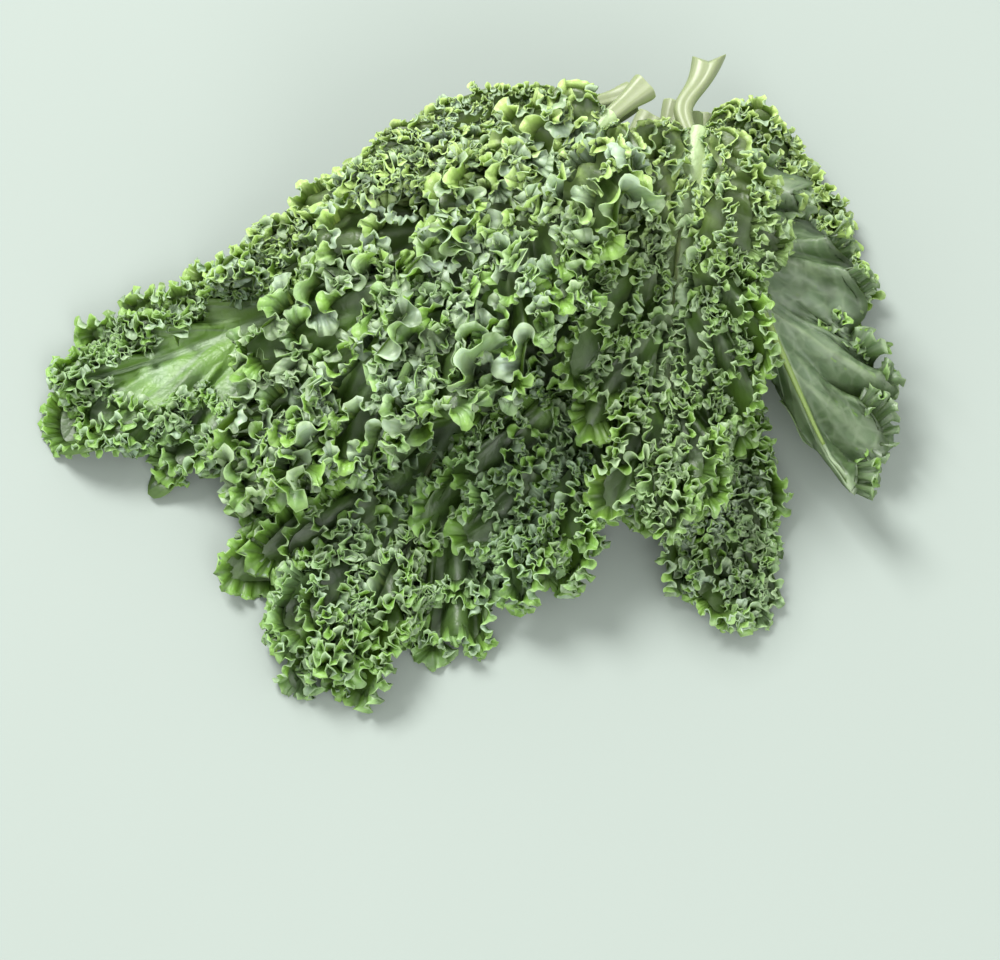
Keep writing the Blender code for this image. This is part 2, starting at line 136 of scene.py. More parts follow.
@dataclass(frozen=True)
class LeafForm:
    """The form that a leaf's solids have, as formulas. Sizes are in metres and angles in degrees."""

    name: str
    path: tuple[tuple[float, float], ...]
    start: float
    left_width: float
    right_width: float
    stalk: float
    arch: float
    fold: float
    roll: float
    seed: int

    @property
    def turned_over(self) -> bool:
        """Whether the leaf shows its underside."""
        return math.cos(math.radians(self.roll)) < 0

    def midrib(self, share: Array) -> tuple[Array, Array, Array]:
        """The midrib: a cubic curve in plan, with a parabola for its height.

        Args:
            share: Shares of the path from the cut end, as an array of any shape.

        Returns:
            The midrib's points, and its left and up directions there.
        """
        p = np.array(self.path)
        s = share[..., None]
        r = 1 - s
        plan = r**3 * p[0] + 3 * r * r * s * p[1] + 3 * r * s * s * p[2] + s**3 * p[3]
        speed = 3 * (r * r * (p[1] - p[0]) + 2 * r * s * (p[2] - p[1]) + s * s * (p[3] - p[2]))
        centre = np.concatenate([plan, self.arch * 4 * s * r], -1)
        forward = unit(np.concatenate([speed, self.arch * 4 * (1 - 2 * s)], -1))
        left = unit(np.cross([0.0, 0.0, 1.0], forward))
        up = np.cross(forward, left)
        turn = math.radians(self.roll)
        turned = left * math.cos(turn) + up * math.sin(turn)
        return centre, turned, up * math.cos(turn) - left * math.sin(turn)

    @cached_property
    def length(self) -> float:
        """The midrib's length from the cut end to the tip."""
        points = self.midrib(np.linspace(0, 1, 65))[0]
        return float(np.linalg.norm(np.diff(points, axis=0), axis=1).sum())

    def rib_radius(self, share: Array) -> Array:
        """The stalk's half width: flared at the cut foot as a bell curve, then thinning as a power.

        Args:
            share: Shares of the path from the cut end.

        Returns:
            The half width at each share.
        """
        flare = 1 + FOOT_FLARE * np.exp(-((share / FOOT_LENGTH) ** 2))
        thin = 1 - (1 - TIP_SHARE) * np.clip(share / RIB_END, 0, 1) ** THINNING_POWER
        return self.stalk * flare * thin

    def lobe_turn(self, u: Array) -> Array:
        """How far through its lobes the margin is at u, in radians."""
        return TURN * LOBES_A_SIDE * (1 - np.abs(2 * u - 1)) + LOBE_DRIFT.height(self.seed, u)

    def outline(self, u: Array, v: Array) -> tuple[Array, Array]:
        """Where (u, v) lies on the flattened leaf.

        u goes round the margin over the tip, and v out along the veins. The margin is a blunt oval with rounded
        lobes, and each vein leans forwards from its foot on the midrib to its own point of the margin.

        Args:
            u: Places round the margin, from 0 to 1.
            v: Places out from the midrib, from 0 to 1, of the same shape.

        Returns:
            The share of the path, and the distance to the left of it.
        """
        side = np.where(u < 0.5, -1.0, 1.0)
        tau = 1 - np.abs(2 * u - 1)
        foot = self.start + (RIB_END - self.start) * tau**VEIN_LEAN
        turn = math.pi * (OUTLINE_FROM + (1 - OUTLINE_FROM) * tau)
        half = (1 - self.start) / 2
        ahead = (1 + self.start) / 2 - half * np.sign(np.cos(turn)) * np.abs(np.cos(turn)) ** BLUNTNESS
        width = np.where(u < 0.5, self.right_width, self.left_width) * np.abs(np.sin(turn)) ** BLUNTNESS
        notch = 0.5 + 0.5 * np.cos(self.lobe_turn(u))
        reach = (1 - NOTCH_DEPTH * notch) * (1 + WIDTH_NOISE.height(self.seed, u))
        return foot + v * reach * (ahead - foot), side * v * reach * width

    @cached_property
    def walk(self) -> tuple[Array, Array]:
        """Steps of u from a foot of the blade to its tip, and the mean way round the margin's two halves."""
        u = np.linspace(0, 0.5, MARGIN_SAMPLES)
        gone = np.zeros_like(u)
        for half in (u, 1 - u):
            share, across = self.outline(np.clip(half, 1e-9, 1), np.ones_like(u))
            gone[1:] += np.cumsum(np.hypot(np.diff(share) * self.length, np.diff(across))) / 2
        return u, gone

    @property
    def margin(self) -> float:
        """The length of the whole margin, before it is frilled."""
        return 2 * float(self.walk[1][-1])

    def even(self, u: Array) -> Array:
        """Spreads places evenly along the margin.

        Args:
            u: Shares of the way round the margin.

        Returns:
            The u that lies at each share.
        """
        steps, gone = self.walk
        near = np.interp(np.minimum(u, 1 - u) * 2, gone / gone[-1], steps)
        return np.where(u < 0.5, near, 1 - near)

    def ruffle_turn(self, u: Array) -> Array:
        """How far through its ruffles the margin is at this share of the way round, in radians."""
        return TURN * self.margin / RUFFLE_LENGTH * u + RUFFLE_DRIFT.height(self.seed, u)

    def rise(self, share: Array, across: Array) -> Array:
        """The blade's height over the midrib: the stalk and a gap, then the fold and a parabola outwards.

        Args:
            share: Shares of the path.
            across: Distances to the left of the midrib.

        Returns:
            The height at each place.
        """
        radius = self.rib_radius(share)
        beyond = np.maximum(np.abs(across) - BEND_FROM * radius, 0)
        bend = math.radians(self.fold) * beyond + CROSS_CURVE * beyond**2 * math.copysign(1, self.fold)
        gap = RIB_GAP_TURNED_OVER if self.turned_over else RIB_GAP
        return radius + gap + SOLID_THICKNESS / 2 + bend

    def frill_fade(self, u: Array) -> Array:
        """How strong the frills are: less on a narrow half, and none at the blade's foot.

        Args:
            u: Places round the margin.

        Returns:
            The strength at each place, from 0 to 1.
        """
        broad = np.where(u < 0.5, self.right_width, self.left_width)
        tau = 1 - np.abs(2 * self.even(u) - 1)
        return np.minimum(broad / FULL_FRILL_WIDTH, 1) ** 2 * np.minimum(tau / FRILL_FADE, 1)

    def wave(self, u: Array, v: Array) -> Array:
        """How far the solid blade is waved up or down: cupped lobes, a slow wave, and ruffles.

        Args:
            u: Places round the margin.
            v: Places out from the midrib.

        Returns:
            The height that the waves add.
        """
        cup = -LOBE_CUP * np.cos(self.lobe_turn(self.even(u))) * v**CUP_POWER
        slow = SLOW_WAVE.height(self.seed, u) * v**SLOW_POWER
        size = 1 + RUFFLE_UNEVENNESS.height(self.seed, u)
        ruffle = RUFFLE * size * np.sin(self.ruffle_turn(u)) * v**RUFFLE_POWER
        return (cup + slow + ruffle) * self.frill_fade(u)

    def solid_surface(self, u: Array, v: Array) -> Array:
        """The middle of the solid blade as it was before it was laid on the pile.

        Args:
            u: Places round the margin.
            v: Places out from the midrib.

        Returns:
            The points there.
        """
        share, across = self.outline(self.even(u), v)
        centre, left, up = self.midrib(share)
        points = centre + left * across[..., None] + up * self.rise(share, across)[..., None]
        points[..., 2] += self.wave(u, v)
        return points


@dataclass(frozen=True)
class SolidHeights:
    """The corners of one solid, to read its height over a spot."""

    corners: Array

    @classmethod
    def of(cls, node: str) -> SolidHeights:
        """Reads the corners of a CAD node, which are in place already.

        Args:
            node: The node's name.

        Returns:
            Its corners.
        """
        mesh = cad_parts[node].data
        flat = np.empty(len(mesh.vertices) * 3, np.float32)
        mesh.vertices.foreach_get("co", flat)
        return cls(flat.reshape(-1, 3).astype(float))

    def middle(self, spots: Array) -> Array:
        """The height halfway between the solid's lowest and highest corners at the corner nearest each spot.

        Args:
            spots: Points of which only x and y count, as an N by 2 or N by 3 array.

        Returns:
            N heights.
        """
        away = np.hypot(*(spots[:, None, k] - self.corners[None, :, k] for k in (0, 1)))
        here = away <= away.min(1, keepdims=True) + SAME_SPOT
        high = np.where(here, self.corners[None, :, 2], -np.inf).max(1)
        low = np.where(here, self.corners[None, :, 2], np.inf).min(1)
        return (high + low) / 2


@dataclass(frozen=True)
class Curl:
    """One size of curl along an edge.

    The sheet waves along its own normal as a sine, and along the edge as a sine of twice the turns, so that each
    wave is pinched at its foot and rounded at its head."""

    length: float
    height: float
    pinch: float
    drift: Wave
    unevenness: Wave

    def bend(self, sheet: Array, out: Array, at: Array, strength: Array, seed: int) -> Array:
        """Curls a sheet.

        Args:
            sheet: Points as rows by columns by 3, its rows going outwards and its columns along the edge.
            out: How far each row is curled, from 0 to 1.
            at: Each column's place round the leaf's margin, from 0 to 1.
            strength: The strength of the curls at each column.
            seed: The number that the curls' unevenness is drawn from.

        Returns:
            The curled sheet.
        """
        along, _, normal = directions(sheet)
        way = np.concatenate([[0.0], np.cumsum(np.linalg.norm(np.diff(sheet[-1], axis=0), axis=1))])
        turn = TURN * way / self.length + self.drift.height(seed, at)
        grown = out[:, None] * strength
        height = self.height * grown * (1 + self.unevenness.height(seed, at))
        sideways = self.pinch * self.length / (2 * TURN) * grown
        bent = sheet + normal * (height * np.sin(turn))[..., None]
        return bent - along * (sideways * np.sin(2 * turn))[..., None]


@dataclass(frozen=True)
class Frills:
    """The curled edges that stand on a leaf, in tiers from an inner one to its margin.

    The inner tiers lean in over the midrib, and the outer ones lean out. Angles are in degrees. The leaf's right
    and left halves are inset by these widths. The share of the margin near its feet that other leaves cover has
    fewer columns."""

    inner: float
    spacing: float
    height: float
    inset: tuple[float, float]
    covered: float = 0.0
    lean: tuple[float, float] = (-25.0, 55.0)
    wide: Curl = Curl(10.0 * MM, 4.4 * MM, 1.25, Wave(6, 50, 1.8), Wave(7, 40, 0.4))
    fine: Curl = Curl(6.0 * MM, 1.3 * MM, 0.6, Wave(8, 150, 2.4), Wave(9, 90, 0.6))


def directions(sheet: Array) -> tuple[Array, Array, Array]:
    """The directions of a sheet of rows and columns at each point, from its differences both ways.

    Args:
        sheet: Points as rows by columns by 3, its rows going outwards and its columns round the margin.

    Returns:
        The unit vectors along the columns, outwards within the sheet, and upwards out of it.
    """
    along = unit(np.gradient(sheet, axis=1))
    normal = unit(np.cross(np.gradient(sheet, axis=0), along))
    return along, np.cross(along, normal), normal


@dataclass
class Part:
    """One closed shell of a blade, with what is stored on its corners."""

    points: Array
    faces: Array
    values: dict[str, Array]
    flat: Array


@dataclass
class Blade:
    """A leaf's green blade: its lamina as a thin closed shell, and the curled edges that stand on it."""

    form: LeafForm
    frills: Frills
    shift: Array
    column: float = 1.0 * MM
    tier_column: float = 0.125 * MM
    most_columns: int = 12800
    rows: tuple[float, ...] = (0, 0.05, 0.11, 0.19, 0.28, 0.38, 0.48, 0.58, 0.68, 0.78, 0.87, 0.94, 1.0)
    lift_mean: float = 5 * MM
    tier_rise: tuple[float, ...] = (-0.05, 0.76, 1.0)
    tier_spread: tuple[float, ...] = (0.0, 0.34, 1.0)
    # Painted shade on each tier's rows, from its foot to its rim: darkest at the foot, none at the rim.
    tier_painted_shade: tuple[float, ...] = (1.0, 0.3, 0.0)
    rim_thinning: float = 0.44
    # The least painted shade on the lamina, which lies under the curls.
    lamina_painted_shade: float = 0.4
    outer_tier: float = 0.92
    wander: float = 0.06
    wander_noise: Wave = Wave(11, 25, 0.8)
    lean_noise: Wave = Wave(12, 36, 26.0)
    height_noise: Wave = Wave(13, 24, 0.4)
    height_ripple: Wave = Wave(14, 300, 0.10)
    calm_noise: Wave = Wave(15, 22, 1.0)
    calm_rise: float = 0.25
    calm_wide: float = 0.3
    calm_fine: float = 0.85
    covered_density: float = 0.3
    covered_step: float = 0.15
    foot_height: float = 0.15
    foot_strength: float = 0.3
    foot_shares: tuple[float, float] = (0.03, 0.26)
    calm_foot: float = 0.05
    calm_tip: float = 0.03
    blend_shares: tuple[float, float] = (0.38, 0.62)
    deep_notch: float = 0.16
    lobe_overlap: float = 1.5
    ruffle_pinch: float = 1.25
    ruffle_lean: float = 0.5
    shingle: float = 6 * MM
    shingle_power: float = 1.6
    skin_radii: tuple[float, float] = (0.9, 3.2)
    pucker_count: int = 7
    pucker_lengths: tuple[float, float] = (9 * MM, 18 * MM)
    pucker_height: float = 1.6 * MM
    vein_widths: tuple[float, float] = (1.95 * MM, 0.45 * MM)
    vein_ridge: float = 0.7 * MM
    rib_edge: float = 1.15
    thickness: float = 0.5 * MM
    table_gap: float = 0.5 * MM
    table_softness: float = 1.5 * MM
    ceiling: float = 151 * MM
    ceiling_softness: float = 10 * MM

    def __post_init__(self) -> None:
        """Sets the lamina's grid."""
        self.columns = 2 * int(self.form.margin / self.column / 2)
        self.at = np.linspace(0, 1, self.columns + 1)
        self.u, self.v = np.meshgrid(self.at, self.rows)
        broad = max(self.form.left_width, self.form.right_width)
        span = self.outer_tier - self.frills.inner
        spaces = round(span * broad / self.frills.spacing)
        self.tiers = np.linspace(self.frills.inner, self.outer_tier, spaces + 1)

    def lift(self) -> Array:
        """How far the solid was lifted at each point of the grid.

        It is the solid's height less the formula's at the solid's own corners, carried between the columns by a
        straight line and a short running mean, and between the rows by the cubic through its four rows."""
        solid = SolidHeights.of(self.form.name + "_blade")
        columns = 2 * round(self.form.margin / (4 * MARGIN_STEP))
        lifts = []
        for row in ROWS_AT:
            u = np.linspace(0, 1, (2 * columns if row == 1 else columns) + 1)
            points = self.form.solid_surface(u, np.full_like(u, row))
            lift = solid.middle(points[:, :2] - self.shift) - points[:, 2]
            lifts.append(self.averaged(np.interp(self.at, u, lift)))
        total = np.zeros_like(self.u)
        for i, row in enumerate(ROWS_AT):
            others = [other for j, other in enumerate(ROWS_AT) if j != i]
            weight = np.prod([(self.v - other) / (row - other) for other in others], axis=0)
            total += weight * lifts[i]
        return total

    def averaged(self, values: Array) -> Array:
        """A short running mean along the margin, with the ends held.

        Args:
            values: A number for each column.

        Returns:
            The means.
        """
        reach = max(int(self.lift_mean / self.form.margin * self.columns / 2), 1)
        padded = np.pad(values, reach, mode="edge")
        return np.convolve(padded, np.full(2 * reach + 1, 1 / (2 * reach + 1)), mode="valid")

    def ruffled(self) -> tuple[Array, Array]:
        """The sheet with lobes and ruffles, where the solid lies.

        v is cut back at the notches between the lobes. u is shifted back and forth by sines, so that each lobe
        spreads over its neighbour's edge, and each ruffle is pinched at its foot. The leading edge of each lobe
        is raised over the next one's trailing edge, and each ruffle leans back along its vein, over the blade.

        Returns:
            The points, and each one's place (along, across) on the flattened leaf.
        """
        form, u, v = self.form, self.u, self.v
        lobe = form.lobe_turn(form.even(u))
        ruffle = form.ruffle_turn(u)
        tau = 1 - np.abs(2 * u - 1)
        calm = np.minimum(tau / self.calm_foot, 1) * np.clip(np.abs(u - 0.5) / self.calm_tip, 0, 1)
        lobe_step = np.sign(0.5 - u) / (2 * TURN * LOBES_A_SIDE)
        reach = v * (1 - self.deep_notch * (0.5 + 0.5 * np.cos(lobe)) ** 3 * v)
        widths = form.right_width, form.left_width
        right, left = (1 - cut / width for cut, width in zip(self.frills.inset, widths))
        reach = reach * (right + (left - right) * smooth(u, *self.blend_shares))
        moved = u - self.lobe_overlap * lobe_step * np.sin(lobe) * v**2 * calm
        pinch = RUFFLE_LENGTH / form.margin * self.ruffle_pinch / (2 * TURN)
        moved = np.clip(moved - pinch * np.sin(2 * ruffle) * v**3 * calm, 0, 1)
        share, across = form.outline(form.even(moved), reach)
        centre, left, up = form.midrib(share)
        rise = self.over_rib(share, across)
        points = centre + left * across[..., None] + up * rise[..., None]
        vein = unit(points[-1] - points[0])
        fade = form.frill_fade(u)
        size = 1 + RUFFLE_UNEVENNESS.height(form.seed, u)
        back = self.ruffle_lean * RUFFLE * size * np.sin(ruffle) * v**2 * fade
        points = points - vein[None] * back[..., None]
        points[..., 2] += self.lift() + form.wave(u, v)
        points[..., 2] += self.shingle * np.sin(lobe) * v**self.shingle_power * fade
        points[..., :2] -= self.shift
        return points, np.stack([share * form.length, across, np.zeros_like(u)], -1)

    def over_rib(self, share: Array, across: Array) -> Array:
        """The blade's rise, drawn down round the stalk near it, as a skin over a rod with an elliptic section.

        Args:
            share: Shares of the path.
            across: Distances to the left of the midrib.

        Returns:
            The height over the midrib.
        """
        form = self.form
        rise = form.rise(share, across)
        radius = form.rib_radius(share)
        near = np.clip(np.abs(across) / radius, 0, 1)
        skin = radius * (0.45 + 0.62 * np.sqrt(1 - near**2 * 0.98)) + 0.1 * MM
        return skin + (rise - skin) * smooth(np.abs(across) / radius, *self.skin_radii)

    def puckers(self, flat: Array) -> Array:
        """Small swellings between the veins: a sum of sines that run in random directions over the flat leaf.

        Args:
            flat: Places on the flattened leaf.

        Returns:
            The height of the swellings.
        """
        draw = np.random.default_rng(self.form.seed + 500)
        count = self.pucker_count
        turns = unit(draw.normal(0, 1, (count, 2))) * TURN / draw.uniform(*self.pucker_lengths, (count, 1))
        waves = np.sin(flat[..., :2] @ turns.T + draw.uniform(0, TURN, count)).sum(-1) / math.sqrt(count)
        return waves * self.pucker_height

    def between_limits(self, points: Array) -> Array:
        """Keeps points off the table and under the bunch's greatest height.

        Each limit is soft: the gap to it becomes the mean of itself and its distance from a small width.

        Args:
            points: Points as rows by columns by 3, which are changed.

        Returns:
            The same points.
        """
        low = points[..., 2] - self.table_gap
        low = (low + np.hypot(low, self.table_softness)) / 2
        room = self.ceiling - self.table_gap - low
        points[..., 2] = self.ceiling - (room + np.hypot(room, self.ceiling_softness)) / 2
        return points

    def vein(self) -> Array:
        """How near each point is to a lobe's main vein or to the midrib, from 0 to 1, as bell curves."""
        lobe = self.form.lobe_turn(self.form.even(self.u))
        gap = self.form.margin / (2 * LOBES_A_SIDE)
        away = np.abs(np.cos(lobe / 2)) * gap / math.pi
        foot, tip = self.vein_widths
        width = foot + (tip - foot) * self.v
        return np.exp(-((away / width) ** 2)) * smooth(1 - self.v, 0.08, 0.3)

    def lamina(self, sheet: Array, flat: Array) -> Part:
        """The blade's own sheet as a closed shell, whose two halves meet along the midrib.

        Args:
            sheet: The sheet's points, rows by columns by 3.
            flat: Each point's place on the flattened leaf.

        Returns:
            The shell, with ridges along the veins on its under side.
        """
        vein = self.vein()
        normal = directions(sheet)[2]
        half = self.thickness / 2
        under = half + self.vein_ridge * vein * (1 - self.v)
        radius = self.form.rib_radius(flat[..., 0] / self.form.length)
        rib = np.exp(-((flat[..., 1] / (self.rib_edge * radius)) ** 4))
        n = np.arange(sheet.shape[0] * sheet.shape[1]).reshape(sheet.shape[:2])
        middle = self.columns // 2
        n[0, middle + 1 :] = n[0, :middle][::-1]
        line = np.concatenate([n[:, 0], n[-1, 1:], n[::-1, -1][1:]])
        values = {"rim": 0.6 * self.v, "vein": vein, "rib": rib}
        # Painted shade: the lamina is darkened where the curls stand on it, and a little everywhere.
        shade_among_tiers = smooth(self.v, self.frills.inner - 0.1, self.frills.inner + 0.12)
        values["deep"] = np.maximum(shade_among_tiers, self.lamina_painted_shade)
        return shell(sheet + normal * half, sheet - normal * under[..., None], n, line, values, flat)

    def tier(self, sheet: Array, number: int) -> Part:
        """One curled edge that stands on the lamina, as a closed shell.

        Its foot wanders in and out with the lobes. Its height varies in slow and in quick waves. It is curled at
        two sizes, and less so along its calm stretches, which stand taller.

        Args:
            sheet: The lamina's points, rows by columns by 3.
            number: Which tier it is, from the inner one.

        Returns:
            The shell, which thins towards its rim.
        """
        form, frills = self.form, self.frills
        share = number / max(len(self.tiers) - 1, 1)
        middle = self.tiers[number]
        seed = form.seed * 20 + number
        lengths = form.margin * (0.25 + 0.75 * self.tiers)
        step = max(self.tier_column, lengths.sum() / self.most_columns) * 1
        fine = np.linspace(0, 1, 2001)
        tau = 1 - np.abs(2 * fine - 1)
        shown = smooth(tau, frills.covered - self.covered_step, frills.covered + 1e-6)
        gone = np.cumsum(self.covered_density + (1 - self.covered_density) * shown)
        at = np.interp(np.linspace(gone[0], gone[-1], int(lengths[number] / step) + 1), gone, fine)
        lobe = form.lobe_turn(form.even(at)) + math.pi * number
        out = np.clip(middle + self.wander * (np.sin(lobe) + self.wander_noise.height(seed, at)), 0.1, 1.0)
        base, outwards, normal = (self.read(grid, at, out) for grid in (sheet, *directions(sheet)[1:]))
        up = unit(normal + np.array([0.0, 0.0, 0.8]))
        lean = frills.lean[0] + (frills.lean[1] - frills.lean[0]) * share + self.lean_noise.height(seed, at)
        lean = np.radians(lean)[:, None]
        rise = up * np.cos(lean) + outwards * np.sin(lean)
        off_foot = smooth(1 - np.abs(2 * at - 1), *self.foot_shares)
        strength = smooth(form.frill_fade(at), 0.05, 0.5)
        strength = strength * (self.foot_strength + (1 - self.foot_strength) * off_foot)
        tall = 1 + self.height_noise.height(seed, at) + self.height_ripple.height(seed, at)
        calm = smooth(self.calm_noise.height(seed, at), 0.1, 0.7)
        tall = tall * (self.foot_height + (1 - self.foot_height) * strength)
        tall = tall * frills.height * (1 + self.calm_rise * calm)
        points = base + rise * tall[:, None] * np.array(self.tier_rise)[:, None, None]
        grown = np.array(self.tier_spread)
        for curl, calmed in ((frills.wide, self.calm_wide), (frills.fine, self.calm_fine)):
            points = curl.bend(points, grown, at, strength * (1 - calmed * calm), seed)
        points = self.between_limits(points)
        half = self.thickness / 2 * (1 - self.rim_thinning * grown)
        normal = directions(points)[2] * half[:, None, None]
        n = np.arange(points.shape[0] * points.shape[1]).reshape(points.shape[:2])
        line = np.concatenate([n[:, 0], n[-1, 1:], n[::-1, -1][1:], n[0, ::-1][1:]])
        way = np.cumsum(np.linalg.norm(np.diff(points[1], axis=0, prepend=points[1][:1]), axis=1))
        flat = np.stack(np.broadcast_arrays(way, tall * grown[:, None], 0.03 * number), -1)
        values = {"rim": np.broadcast_to(grown[:, None], points.shape[:2])}
        # Painted shade at the tier's foot, fading to none at its rim.
        values["deep"] = np.broadcast_to(np.array(self.tier_painted_shade)[:, None], points.shape[:2])
        return shell(points + normal, points - normal, n, line, values, flat)

    def read(self, grid: Array, at: Array, out: Array) -> Array:
        """Reads a grid of vectors between its corners, by straight lines both ways.

        Args:
            grid: Vectors as rows by columns by 3.
            at: Places round the margin.
            out: Places out from the midrib, one for each place round it.

        Returns:
            The vector at each place.
        """
        column = at * self.columns
        i = np.minimum(column.astype(int), self.columns - 1)
        row = np.interp(out, self.rows, np.arange(len(self.rows)))
        j = np.minimum(row.astype(int), len(self.rows) - 2)
        f, g = (column - i)[:, None], (row - j)[:, None]
        low = grid[j, i] * (1 - f) + grid[j, i + 1] * f
        high = grid[j + 1, i] * (1 - f) + grid[j + 1, i + 1] * f
        return low * (1 - g) + high * g

    def build(self, finish: bpy.types.Material) -> bpy.types.Object:
        """Makes the shells and hands them to the frame in place of the solid blade.

        Args:
            finish: The blade's material.

        Returns:
            The one object that holds them all.
        """
        sheet, flat = self.ruffled()
        swelling = smooth(self.v, 0.08, 0.4) * (0.3 + 0.7 * self.form.frill_fade(self.u))
        sheet[..., 2] += self.puckers(flat) * swelling
        sheet = self.between_limits(sheet)
        parts = [self.lamina(sheet, flat)]
        parts += [self.tier(sheet, number) for number in range(len(self.tiers))]
        starts = np.cumsum([0] + [len(part.points) for part in parts])
        faces = np.vstack([part.faces + start for part, start in zip(parts, starts)])
        points = np.vstack([part.points for part in parts])
        made = mesh_object(self.form.name + "_leaf_blade", points, faces, np.empty((0, 3), int))
        give_values(made, {
            name: np.concatenate([part.values.get(name, np.zeros(len(part.points))) for part in parts])
            for name in ("rim", "vein", "rib", "deep", "under")
        })
        give_vectors(made, "flat", np.vstack([part.flat for part in parts]))
        made.data.materials.append(finish)
        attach(made, "root")
        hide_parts(self.form.name + "_blade")
        return made


def strips(n: Array) -> Array:
    """The four-sided faces between the rows and columns of a grid of corner numbers."""
    corners = n[:-1, :-1], n[:-1, 1:], n[1:, 1:], n[1:, :-1]
    return np.stack([c.ravel() for c in corners], 1)


def shell(upper: Array, under: Array, n: Array, line: Array, values: dict[str, Array], flat: Array) -> Part:
    """Closes two sheets of rows and columns into a shell.

    Args:
        upper: The upper sheet's points, rows by columns by 3.
        under: The under sheet's.
        n: The corner numbers of a sheet.
        line: The corner numbers along its open edge.
        values: What to store on a sheet's corners.
        flat: Each corner's place on the flattened sheet.

    Returns:
        The part, whose corners also store which of them are on the under sheet.
    """
    count = n.size
    sides = np.stack([line[:-1], line[:-1] + count, line[1:] + count, line[1:]], 1)
    faces = np.vstack([strips(n)[:, ::-1], strips(n) + count, sides])
    stored = {name: np.tile(value.ravel(), 2) for name, value in values.items()}
    stored["under"] = np.repeat([0.0, 1.0], count)
    points = np.vstack([upper.reshape(-1, 3), under.reshape(-1, 3)])
    return Part(points, faces, stored, np.tile(flat.reshape(-1, 3), (2, 1)))


def mesh_object(name: str, points: Array, fours: Array, threes: Array) -> bpy.types.Object:
    """Puts points and faces into a mesh.

    Args:
        name: The piece's name.
        points: Its corners, N by 3.
        fours: Corner numbers of its four-sided faces.
        threes: Corner numbers of its three-sided faces.

    Returns:
        The smooth-shaded object, at the origin.
    """
    mesh = bpy.data.meshes.new(name)
    mesh.vertices.add(len(points))
    mesh.vertices.foreach_set("co", points.astype(np.float32).ravel())
    corners = np.concatenate([fours.ravel(), threes.ravel()]).astype(np.int32)
    starts = np.concatenate([np.arange(len(fours)) * 4, fours.size + np.arange(len(threes)) * 3])
    mesh.loops.add(len(corners))
    mesh.loops.foreach_set("vertex_index", corners)
    mesh.polygons.add(len(starts))
    mesh.polygons.foreach_set("loop_start", starts.astype(np.int32))
    mesh.update(calc_edges=True)
    mesh.validate()
    mesh.shade_smooth()
    made = bpy.data.objects.new(name, mesh)
    bpy.context.scene.collection.objects.link(made)
    return made


def give_values(made: bpy.types.Object, values: dict[str, Array]) -> None:
    """Stores each array as a number on the object's corners.

    Args:
        made: The object.
        values: The arrays, by the names that the finishes read.
    """
    for name, numbers in values.items():
        stored = made.data.attributes.new(name, "FLOAT", "POINT")
        stored.data.foreach_set("value", numbers.astype(np.float32))


def give_vectors(made: bpy.types.Object, name: str, vectors: Array) -> None:
    """Stores an array of vectors on the object's corners."""
    stored = made.data.attributes.new(name, "FLOAT_VECTOR", "POINT")
    stored.data.foreach_set("vector", vectors.astype(np.float32).ravel())


